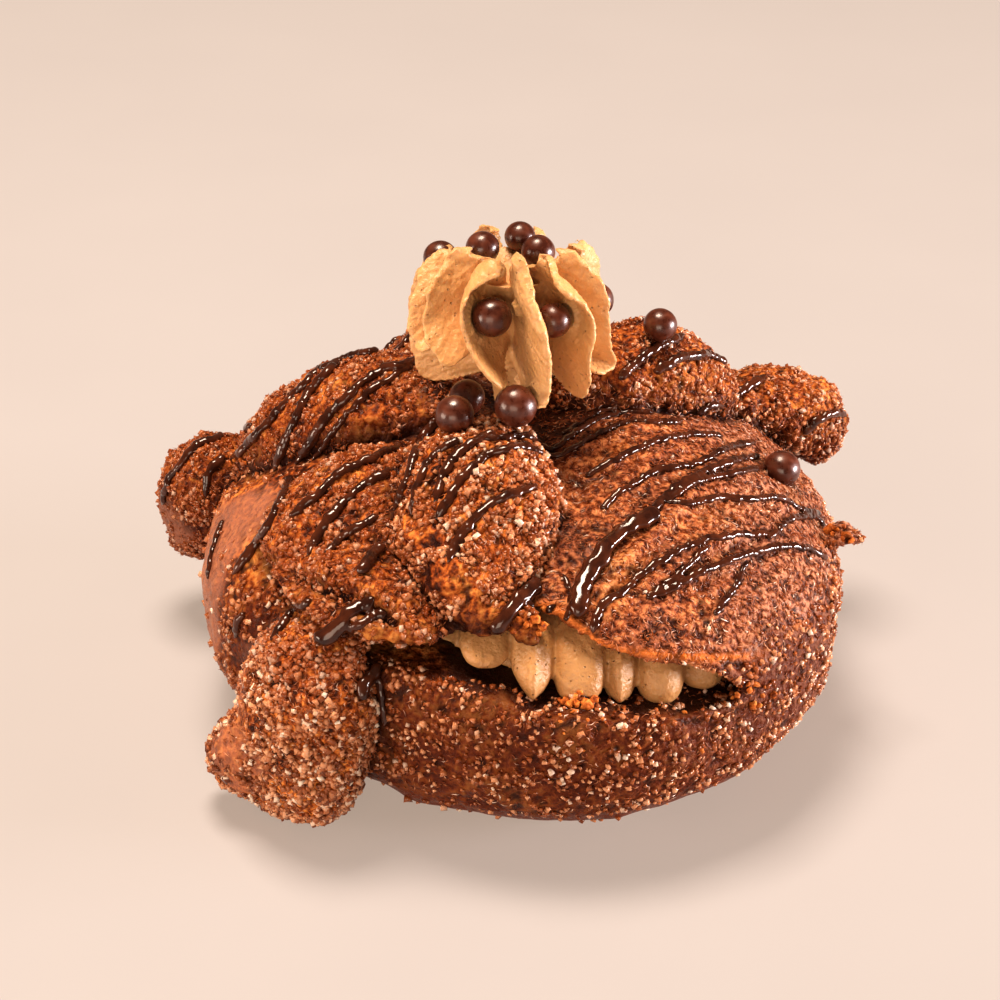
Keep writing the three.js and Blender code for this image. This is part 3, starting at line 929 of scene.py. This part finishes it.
def turns_along(draw, out):
    """Rotations that lay a grain's long side on the skin, a little tilted."""
    side = unit(np.cross(out, draw.normal(size=out.shape)))
    side = unit(side + 0.25 * draw.normal(size=(len(out), 1)) * out)
    third = unit(np.cross(out, side))
    return np.stack([side, third, np.cross(side, third)], axis=2)


def scatter_places(piece, draw, count):
    """Places spread evenly over a skin by area, with the way out at each."""
    points = read_points(piece.data)
    corners = points[read_triangles(piece.data)]
    out = np.cross(corners[:, 1] - corners[:, 0], corners[:, 2] - corners[:, 0])
    area = np.linalg.norm(out, axis=1)
    chosen = draw.choice(len(area), count, p=area / area.sum())
    u = np.sqrt(draw.random(count))
    v = draw.random(count)
    weights = np.stack([1 - u, u * (1 - v), u * v], axis=1)
    places = (corners[chosen] * weights[:, :, None]).sum(axis=1)
    return places, out[chosen] / area[chosen][:, None]


def is_bare(place, out, node):
    """Whether a place takes no grain: it is underneath, in chocolate, in the mouth or in other dough."""
    if place[2] < 1.2 and out[2] < 0:
        return True
    point = Vector(place)
    hit, normal, _, _ = drizzle_skin.find_nearest(point, 1.0)
    if hit is not None and (point - hit).dot(normal) < IN_CHOCOLATE:
        return True
    for other, skin in skins.items():
        if other == node:
            continue
        hit, normal, _, _ = skin.find_nearest(point, 8.0)
        if hit is not None and (point - hit).dot(normal) < IN_DOUGH:
            return True
    return in_mouth(*place)


def in_mouth(x, y, z):
    """Whether a place is between the lips, behind the crust."""
    deep = math.hypot(x - BUN_CENTRE[0], y - BUN_CENTRE[1]) < BUN_RADIUS - CRUST_THICKNESS
    return deep and lower_lip(x) - 0.5 < z < upper_lip(x) + 0.5 and y < MOUTH_BACK


def mark_syrup(piece, node):
    """How far the grains have drawn up syrup: most on the back bones and the band, least on the knobs."""
    points = read_points(piece.data)
    upper = smooth_between(points[:, 2], *SYRUP_LINE)
    low, high = SUGAR[node]["syrup"]
    mark(piece, "syrup", np.clip(low + (high - low) * upper + 0.4 * waves(points, 7.0, 2, 71.0), 0, 0.95))


def drawn_grains(node, draw, wanted, chance_of):
    """Places for grains on a piece of dough, with the way out at each."""
    places, out = scatter_places(breads[node], draw, int(wanted * GRAINS_DRAWN))
    kept = np.flatnonzero(draw.random(len(places)) < chance_of(places, out))
    kept = [i for i in kept if not is_bare(places[i], out[i], node)][:wanted]
    return places[kept], out[kept]


def blocks(name, places, turns, halves, draw):
    """One piece of uneven blocks, `halves` being half their sizes along their own three ways."""
    count = len(places)
    corners = GRAIN_CORNERS[None] * (1 + 0.28 * draw.normal(size=(count, 8, 3)).clip(-1.5, 1.5))
    corners = np.einsum("nij,nkj->nki", turns, corners * halves[:, None, :])
    faces = GRAIN_FACES[None] + 8 * np.arange(count)[:, None, None]
    piece = new_piece(name, (corners + places[:, None, :]).reshape(-1, 3), faces.reshape(-1, 4))
    piece.data.materials.append(CRYSTAL)
    return piece


def sprinkle(node, seed):
    """Crystals in clumps, few where the crust is smeared, dark or fibrous."""
    draw = np.random.default_rng(seed)

    def chance_of(places, out):
        state = crust_state(places, out, node)
        clumps = waves(places, CLUMP_WIDTH, 3, seed)
        chance = np.clip(0.6 + 1.5 * clumps, 0.05, 1) * (1 - 0.93 * state["smear"])
        chance *= 1 - SUGAR[node]["lost"] * smooth_between(places[:, 2], *SUGAR_LINE)
        if node == "bun":
            chance *= 1 - 0.6 * smooth_between(places[:, 1], *FEWER_BEHIND)
        chance *= (1 - 0.93 * state["base"]) * (1 - 0.9 * state["torn"])
        chance *= 1 - in_fold(places, node)
        return chance * (1 - 0.72 * on_dome(places, node))

    places, out = drawn_grains(node, draw, SUGAR[node]["count"], chance_of)
    low, high = SUGAR[node]["size"]
    size = low + (high - low) * draw.random(len(places)) ** 1.6
    size *= 1 - 0.4 * on_dome(places, node)
    stretch = 1 + 0.25 * draw.normal(size=(len(places), 3)).clip(-1, 1)
    halves = 0.4 * size[:, None] * stretch
    places = places + 0.06 * size[:, None] * out
    piece = blocks(node + "_sugar", places, random_turns(draw, len(places)), halves, draw)
    mark_syrup(piece, node)
    return piece


def lay_fibres(node, seed):
    """Thin wisps of crumb that lie on the crust, thickest on the dome."""
    draw = np.random.default_rng(seed)

    def chance_of(places, out):
        state = crust_state(places, out, node)
        chance = (0.2 + 0.8 * on_dome(places, node)) if node == "bun" else np.full(len(places), 0.8)
        return chance * (1 - 0.95 * state["smear"]) * (1 - state["base"]) * (1 - in_fold(places, node))

    places, out = drawn_grains(node, draw, SUGAR[node]["wisps"], chance_of)
    count = len(places)
    length = 0.9 + 1.1 * draw.random(count)
    thick = 0.07 + 0.07 * draw.random(count)
    corners = SLIVER_CORNERS[None] * np.stack([length / 2, thick, thick], axis=1)[:, None, :]
    corners[:, 2:, 1] += (0.3 * length * draw.uniform(-1, 1, count))[:, None]
    corners = np.einsum("nij,nkj->nki", turns_along(draw, out), corners)
    faces = SLIVER_FACES[None] + len(SLIVER_CORNERS) * np.arange(count)[:, None, None]
    placed = corners + (places + 0.08 * out)[:, None, :]
    piece = new_piece(node + "_fibres", placed.reshape(-1, 3), faces.reshape(-1, 3))
    mark_syrup(piece, node)
    piece.data.materials.append(FIBRE)
    return piece


sugars = {name: sprinkle(name, 40 + i) for i, name in enumerate(BREADS)}
fibres = {name: lay_fibres(name, 80 + i) for i, name in enumerate(BREADS)}

# ---- The cream in the mouth: a row of piped lobes in front of the layer ----
# For each lobe: its place and half width, how far it stands out, how round its sides and its ends are, how
# far its middle stands out as a ridge, how much narrower it is at the bottom, and how far the bottom is off
# the lower lip.
LOBES = [
    {"x": -6.5, "half": 4.4, "out": 0, "side": 0.8, "end": 0.5, "ridge": 0, "taper": 0.1, "lift": 1.8},
    {"x": 1.5, "half": 4.0, "out": 0.8, "side": 1, "end": 0.8, "ridge": 1.4, "taper": 0.5, "lift": -1.2},
    {"x": 9.2, "half": 4.4, "out": -0.1, "side": 0.75, "end": 0.5, "ridge": 0, "taper": 0.05, "lift": -1},
    {"x": 16.0, "half": 3.0, "out": -1.0, "side": 1, "end": 0.6, "ridge": 0.7, "taper": 0.1, "lift": -1.3},
    {"x": 22.9, "half": 4.3, "out": 0.8, "side": 1, "end": 0.7, "ridge": 0, "taper": 0.15, "lift": -1.5},
    {"x": 30.2, "half": 4.0, "out": -0.4, "side": 1, "end": 0.5, "ridge": 0, "taper": 0, "lift": 0.9},
]
LOBE_FRONT = 54.6  # radius of the circle that the fronts of the lobes stand on
LOBE_DEPTH = 7.0
LOBE_CLEARANCE = 0.35  # between a lobe and the lips
RIDGE_WIDTH = 0.22  # of a lobe's half width
LAYER_REACH = 46.5  # how far from the bun's middle the layer behind the lobes reaches
FILLING_VOXEL = 0.4


def dome_recess(z):
    """How far the dome has drawn in from its widest, at a height."""
    up = np.clip((z - BUN_WAIST) / DOME_REACH, 0, 1) ** DOME_POWER
    return BUN_RADIUS * (1 - (1 - up) ** (1 / DOME_POWER))


def lobe(shape):
    """A ball drawn out to a lobe between the lips. It leans back with the dome."""
    x = shape["x"]
    low = lower_lip(x) + LOBE_CLEARANCE + shape["lift"]
    high = upper_lip(x) - LOBE_CLEARANCE
    front = BUN_CENTRE[1] - math.sqrt(LOBE_FRONT ** 2 - (x - BUN_CENTRE[0]) ** 2) - shape["out"]
    points, faces = ball(5)
    side, deep, tall = points.T
    width = shape["half"] * np.abs(side) ** shape["side"] * np.sign(side)
    width *= 1 - shape["taper"] * np.clip(-tall, 0, 1) ** 2
    depth = LOBE_DEPTH * np.abs(deep) ** shape["end"] * np.sign(deep)
    ridge = shape["ridge"] * np.exp(-((side / RIDGE_WIDTH) ** 2)) * np.clip(-deep, 0, 1)
    height = (low + high) / 2 + (high - low) / 2 * np.abs(tall) ** shape["end"] * np.sign(tall)
    back = front + LOBE_DEPTH + depth - ridge + dome_recess(height)
    return np.stack([x + width, back, height], axis=1), faces


def fill_mouth():
    layer = copy_node("filling_cream", "layer")
    points = read_points(layer.data)
    offset = points[:, :2] - BUN_CENTRE
    away = np.linalg.norm(offset, axis=1)
    drawn_in = np.minimum(1, (LAYER_REACH - dome_recess(points[:, 2])) / away)
    points[:, :2] = BUN_CENTRE + offset * drawn_in[:, None]
    shells = [(points, read_triangles(layer.data))] + [lobe(shape) for shape in LOBES]
    piece = new_piece("filling", *joined(shells))
    bpy.data.objects.remove(layer)
    remesh(piece, FILLING_VOXEL)
    relax(piece, 2)
    points = read_points(piece.data)
    normals = read_normals(piece.data)
    relief = 0.2 * waves(points, 4.0, 2, 31.0) + 0.05 * waves(points, 1.0, 2, 33.0)
    points += normals * relief[:, None]
    write_points(piece.data, points)
    piece.data.materials.append(FILLING_CREAM)
    return piece


filling = fill_mouth()

# ---- The rosette: thin fins round a hollow-topped core ----
# The fins in front, by the pixels of the photograph that their rims pass through, the share of the
# rosette's outline that they reach, half their thickness and how far their faces are cupped.
SEEN_FINS = [
    {
        "rim": [(437, 246), (420, 267), (409, 300), (408, 330), (414, 349), (428, 356)],
        "bulk": 1.0, "thick": 0.62, "cup": 0.0,
    },
    {
        "rim": [(455, 244), (443, 260), (427, 292), (421, 325), (426, 342), (438, 362), (452, 380)],
        "bulk": 1.0, "thick": 0.62, "cup": 0.3,
    },
    {
        "rim": [
            (505, 274), (488, 280), (471, 290), (461, 310), (461, 330), (468, 350), (480, 368),
            (497, 386), (508, 402),
        ],
        "bulk": 0.97, "thick": 0.68, "cup": 1.8,
    },
    {
        "rim": [
            (519, 254), (528, 276), (533, 305), (545, 335), (550, 365), (549, 393), (544, 412),
            (536, 424),
        ],
        "bulk": 1.0, "thick": 1.1, "cup": 0.6,
    },
    {
        "rim": [
            (549, 254), (554, 280), (565, 295), (584, 304), (594, 318), (595, 337), (591, 356),
            (590, 385), (586, 411),
        ],
        "bulk": 0.98, "thick": 0.68, "cup": -1.6,
    },
    {
        "rim": [(572, 245), (587, 262), (604, 285), (611, 306), (613, 342), (616, 368), (600, 380)],
        "bulk": 0.95, "thick": 0.62, "cup": 0.0,
    },
]
# The fins behind: azimuth of the tip and the foot in degrees, and their heights.
FAR_FINS = [
    {"turn": (32, 50), "tip": 89.0, "foot": 60.0},
    {"turn": (74, 92), "tip": 88.5, "foot": 59.5},
    {"turn": (110, 128), "tip": 89.5, "foot": 60.0},
    {"turn": (150, 168), "tip": 88.5, "foot": 60.5},
]
ROSETTE_AXIS = np.array([-1.8, 0.0])
ROSETTE_FLOOR = 54.8
# The rosette's round outline: heights, and the radius at each.
OUTLINE = {
    "height": (54, 58, 63, 70, 78, 84, 88, 92),
    "radius": (11.0, 14.5, 17.3, 19.3, 19.9, 18.6, 15.5, 10.5),
}
CRATER = {"rim": 86.6, "floor": 84.4}
# Radius of the core at its foot, a third and two thirds of the way up, and at the crater's rim.
CORE_RADII = (2.2, 4.0, 5.6, 8.2)
FIN_ROOT = 1.6  # half the thickness of a fin where it leaves the core
FIN_INNER = 3.0
TIP_DEPTH = 3.0  # how deep a fin still is at its tip, where it stands free of the core
FIN_SQUARENESS = 0.6  # of a fin's section, 1 being an ellipse
FIN_CLOSING = 14  # the more, the later a fin closes at its tip and foot
FAR_FIN = {"thick": 0.8, "cup": 1.5}
ROSETTE_VOXEL = 0.3
RAGGED_RIM = (82, 87)  # heights between which the cream becomes ragged
PEARL_HUG = 1.6  # how near to a pearl the cream is drawn onto it
SIGHT_REACH = (450, 530)  # distances from the camera that the rosette lies between
FIN_ROWS = 110
FIN_SIDES = 48


def outline_radius(height):
    return np.interp(height, OUTLINE["height"], OUTLINE["radius"])


def seen_rim(shape):
    """Where the lines of sight through a fin's rim first come within the outline, or nearest to it."""
    away = np.linspace(*SIGHT_REACH, 800)[:, None]
    rim = []
    for pixel in shape["rim"]:
        points = np.array(EYE) + away * np.array(sight(*pixel))
        out = np.linalg.norm(points[:, :2] - ROSETTE_AXIS, axis=1)
        beyond = out - shape["bulk"] * outline_radius(points[:, 2])
        inside = np.flatnonzero(beyond < 0)
        rim.append(points[inside[0] if len(inside) else np.argmin(beyond)])
    return np.array(rim)


def far_rim(shape):
    t = np.linspace(0, 1, 8)
    height = shape["tip"] + (shape["foot"] - shape["tip"]) * t
    turn = np.radians(shape["turn"][0] + (shape["turn"][1] - shape["turn"][0]) * t)
    radius = outline_radius(height)
    x = ROSETTE_AXIS[0] + radius * np.cos(turn)
    y = ROSETTE_AXIS[1] + radius * np.sin(turn)
    return np.stack([x, y, height], axis=1)


def fin(rim, thick, cup, seed):
    """A thin cupped blade of cream between its rim and a line near the rosette's axis."""
    lengths = lengths_along(rim)
    along = np.linspace(0, lengths[-1], FIN_ROWS)
    rim = evened(at_lengths(along, lengths, rim), 20)
    down = along / lengths[-1]
    out = rim[:, :2] - ROSETTE_AXIS
    radius = np.linalg.norm(out, axis=1)
    free = 1 - smooth_between(down, 0.03, 0.2)
    inner = FIN_INNER + (radius - TIP_DEPTH - FIN_INNER) * free
    root_height = rim[:, 2] - 1.0 + 7.0 * down ** 2
    root = np.column_stack([ROSETTE_AXIS + out * (inner / radius)[:, None], root_height])
    outward = rim - root
    depth = np.linalg.norm(outward, axis=1)
    outward /= depth[:, None]
    aside = unit(np.cross(np.gradient(rim, axis=0), outward))
    depth += 0.32 * noise_along(along, 0.8, seed, 0)
    depth += 0.6 * noise_along(along, 3.4, seed, 5)
    closing = np.clip(1 - np.abs(2 * down - 1) ** FIN_CLOSING, 0.002, 1) ** 0.5
    angle = np.linspace(0, 2 * np.pi, FIN_SIDES, endpoint=False)
    way_out = (1 + np.sign(np.cos(angle)) * np.abs(np.cos(angle)) ** FIN_SQUARENESS) / 2
    half = thick + (FIN_ROOT - thick) * (1 - way_out) ** 1.5
    sideways = np.sign(np.sin(angle)) * np.abs(np.sin(angle)) ** FIN_SQUARENESS * half
    bow = cup * np.sin(np.pi * way_out)
    reach = (depth * closing)[:, None] * way_out[None, :]
    off = closing[:, None] * sideways[None, :] + bow[None, :]
    blade = reach[:, :, None] * outward[:, None, :]
    face = off[:, :, None] * aside[:, None, :]
    return capped_tube(root[:, None, :] + blade + face)


def core():
    """A column with a hollow in its top."""
    up = np.linspace(0, 1, 30)
    wall = np.interp(up, np.linspace(0, 1, len(CORE_RADII)), CORE_RADII)
    height = ROSETTE_FLOOR + (CRATER["rim"] - ROSETTE_FLOOR) * up
    inward = np.linspace(0.9, 0.05, 8)
    wall = np.concatenate([wall, CORE_RADII[-1] * inward])
    hollow = CRATER["floor"] + (CRATER["rim"] - CRATER["floor"]) * inward ** 2
    height = np.concatenate([height, hollow])
    angle = np.linspace(0, 2 * np.pi, FIN_SIDES, endpoint=False)[None, :]
    x = wall[:, None] * np.cos(angle) + ROSETTE_AXIS[0]
    y = wall[:, None] * np.sin(angle) + ROSETTE_AXIS[1]
    return capped_tube(np.stack([x, y, np.broadcast_to(height[:, None], x.shape)], axis=2))


def pearl_ball(node):
    """Centre and radius of a pearl in the frame."""
    low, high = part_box(node)
    centre = np.array((low + high) / 2) / MM
    radius = float(np.mean(np.array(high - low))) / 2 / MM
    return centre, radius


def hug_pearls(points):
    """Draws the cream that is near a pearl onto it, and out of it."""
    for node in pearl_nodes:
        centre, radius = pearl_ball(node)
        away = points - centre
        distance = np.linalg.norm(away, axis=1)
        near = distance < radius + PEARL_HUG
        wanted = radius - 0.12 + np.clip(distance[near] - radius - 0.2, 0, None) * 0.6
        points[near] = centre + away[near] * (wanted / distance[near])[:, None]
    return points


def pipe_rosette():
    blades = [fin(seen_rim(f), f["thick"], f["cup"], 3.1 * i) for i, f in enumerate(SEEN_FINS)]
    for i, shape in enumerate(FAR_FINS):
        blades.append(fin(far_rim(shape), FAR_FIN["thick"], FAR_FIN["cup"], 40 + 3.1 * i))
    piece = new_piece("rosette_swirl", *joined([core()] + blades))
    remesh(piece, ROSETTE_VOXEL)
    relax(piece, 2)
    points = read_points(piece.data)
    normals = read_normals(piece.data)
    radius = np.linalg.norm(points[:, :2] - ROSETTE_AXIS, axis=1)
    drawn = np.stack([radius / 3.0, np.zeros(len(points)), points[:, 2] + 0.5 * radius], axis=1)
    relief = 0.2 * waves(points, 6.0, 2, 41.0) + 0.13 * waves(drawn, 0.8, 2, 45.0)
    ragged = smooth_between(points[:, 2], *RAGGED_RIM) * waves(points, 1.4, 3, 43.0)
    points += normals * (relief + 0.22 * ragged)[:, None]
    write_points(piece.data, hug_pearls(points))
    piece.data.materials.append(ROSETTE_CREAM)
    return piece


pearl_nodes = sorted(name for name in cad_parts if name.startswith("pearl"))
rosette = pipe_rosette()


# ---- Chocolate pearls ----
def roll_pearl(node, seed):
    """A shell that is a little out of round, over the pearl in the frame."""
    centre, radius = pearl_ball(node)
    points, faces = ball(5)
    points *= radius * (1 + 0.022 * waves(points, 1.4, 2, seed))[:, None]
    piece = new_piece(node + "_shell", centre + points, faces)
    piece.data.materials.append(SHELL)
    return piece


pearls = {name: roll_pearl(name, 60.0 + 3 * i) for i, name in enumerate(pearl_nodes)}

# ---- Torn crumb: ragged bits on the lips, at the corner and at the ends of the bones ----
# The pixel of the photograph that each heap is seen at, its spread in pixels, and its bits.
CRUMBS = [
    {"seen": (525, 622), "spread": 14, "count": 9, "size": (0.8, 1.8)},
    {"seen": (578, 703), "spread": 11, "count": 14, "size": (0.8, 1.8)},
    {"seen": (752, 692), "spread": 13, "count": 14, "size": (0.7, 1.5)},
    {"seen": (640, 702), "spread": 50, "count": 26, "size": (0.5, 1.1)},
    {"seen": (236, 460), "spread": 6, "count": 7, "size": (0.8, 1.6)},
    {"seen": (843, 533), "spread": 8, "count": 8, "size": (0.8, 1.8)},
]


def crumble():
    draw = np.random.default_rng(7)
    round_points, round_faces = ball(2)
    bits = []
    for heap in CRUMBS:
        for _ in range(heap["count"]):
            aside = heap["spread"] * draw.normal(size=2).clip(-1.6, 1.6) * (1, 0.6)
            hit, out, _, _ = all_bread.ray_cast(EYE, sight(*(aside + heap["seen"])))
            if hit is None:
                continue
            low, high = heap["size"]
            size = low + (high - low) * draw.random() ** 2
            rough = 1 + 0.6 * waves(round_points, 0.9, 3, draw.random() * 90)
            stretch = size * (0.35 + 0.35 * draw.random(3))
            points = round_points * rough[:, None] * stretch
            points = points @ random_turns(draw, 1)[0].T + np.array(hit + 0.25 * size * out)
            bits.append((points, round_faces))
    piece = new_piece("torn_crumbs", *joined(bits))
    for name in ("smear", "base", "dark", "ruddy", "crease_shade"):
        mark(piece, name, np.zeros(len(piece.data.vertices)))
    mark(piece, "torn", smooth_between(waves(read_points(piece.data), 2.5, 2, 5.0), -0.3, 0.3) * 0.45)
    piece.data.materials.append(CRUST)
    return piece


crumbs = crumble()

# ---- What rides, and which parts of the frame are hidden ----
for name in BREADS:
    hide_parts(name)
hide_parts(*BREADS)
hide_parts("filling_cream")
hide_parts("rosette")
for name, piece in pearls.items():
    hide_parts(name)
for group in (breads, sugars, fibres, pearls):
    for piece in group.values():
        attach(piece, "root")
for piece in (drizzle, crumbs, filling, rosette):
    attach(piece, "root")


# ---- The floor, the light and the camera ----
FLOOR_HALF = 4000.0
FLOOR_GLOW = (0.44, 0.35, 0.285, 1.0)  # keeps the shadows as pale as in the photograph
AIM = (0, 0, 40)
LIGHTS = [
    {
        "name": "overhead", "place": (-110, 130, 900), "size": (330, 330),
        "power": 12.5, "colour": (1.0, 0.84, 0.68),
    },
    {
        "name": "window", "place": (900, -60, 100), "size": (340, 180),
        "power": 17.0, "colour": (0.98, 0.93, 0.94),
    },
    {
        "name": "left side", "place": (-800, -300, 150), "size": (400, 280),
        "power": 4.5, "colour": (1.0, 0.84, 0.70),
    },
    {
        "name": "front fill", "place": (-160, -700, 200), "size": (500, 300),
        "power": 2.6, "colour": (1.0, 0.84, 0.68),
    },
]
ROOM = {"colour": (1.0, 0.76, 0.54, 1.0), "strength": 0.22}


def pale_floor():
    half = FLOOR_HALF
    corners = np.array([(-half, -half, 0), (half, -half, 0), (half, half, 0), (-half, half, 0)], float)
    piece = new_piece("floor", corners, np.array([(0, 1, 2, 3)]))
    material, tree, shader = new_material("pale_floor")
    shade = ramp(tree, grain(tree, 60.0), [(0.3, (0.220, 0.218, 0.240)), (0.7, (0.230, 0.228, 0.250))])
    link(tree, shade, shader.inputs["Base Color"])
    shader.inputs["Roughness"].default_value = 0.75
    shader.inputs["Emission Color"].default_value = FLOOR_GLOW
    shader.inputs["Emission Strength"].default_value = 1.0
    piece.data.materials.append(material)


def soft_light(name, place, size, power, colour):
    lamp = bpy.data.lights.new(name, "AREA")
    lamp.shape = "RECTANGLE"
    lamp.size, lamp.size_y = size[0] * MM, size[1] * MM
    lamp.energy = power
    lamp.color = colour
    made = bpy.data.objects.new(name, lamp)
    made.location = Vector(place) * MM
    aim = Vector(AIM) - Vector(place)
    made.rotation_euler = aim.to_track_quat("-Z", "Y").to_euler()
    bpy.context.scene.collection.objects.link(made)


def camera():
    lens = bpy.data.cameras.new("camera")
    lens.lens = LENS
    lens.sensor_width = SENSOR
    lens.clip_start = 0.01
    made = bpy.data.objects.new("camera", lens)
    made.location = EYE * MM
    made.rotation_euler = (-BACKWARD).to_track_quat("-Z", "Y").to_euler()
    bpy.context.scene.collection.objects.link(made)
    bpy.context.scene.camera = made


def soft_room():
    world = bpy.data.worlds.new("soft room")
    world.use_nodes = True
    background = world.node_tree.nodes["Background"]
    background.inputs["Color"].default_value = ROOM["colour"]
    background.inputs["Strength"].default_value = ROOM["strength"]
    bpy.context.scene.world = world


pale_floor()
for light in LIGHTS:
    soft_light(**light)
soft_room()
bpy.context.scene.view_settings.view_transform = "Standard"
bpy.context.scene.view_settings.gamma = 0.85
camera()
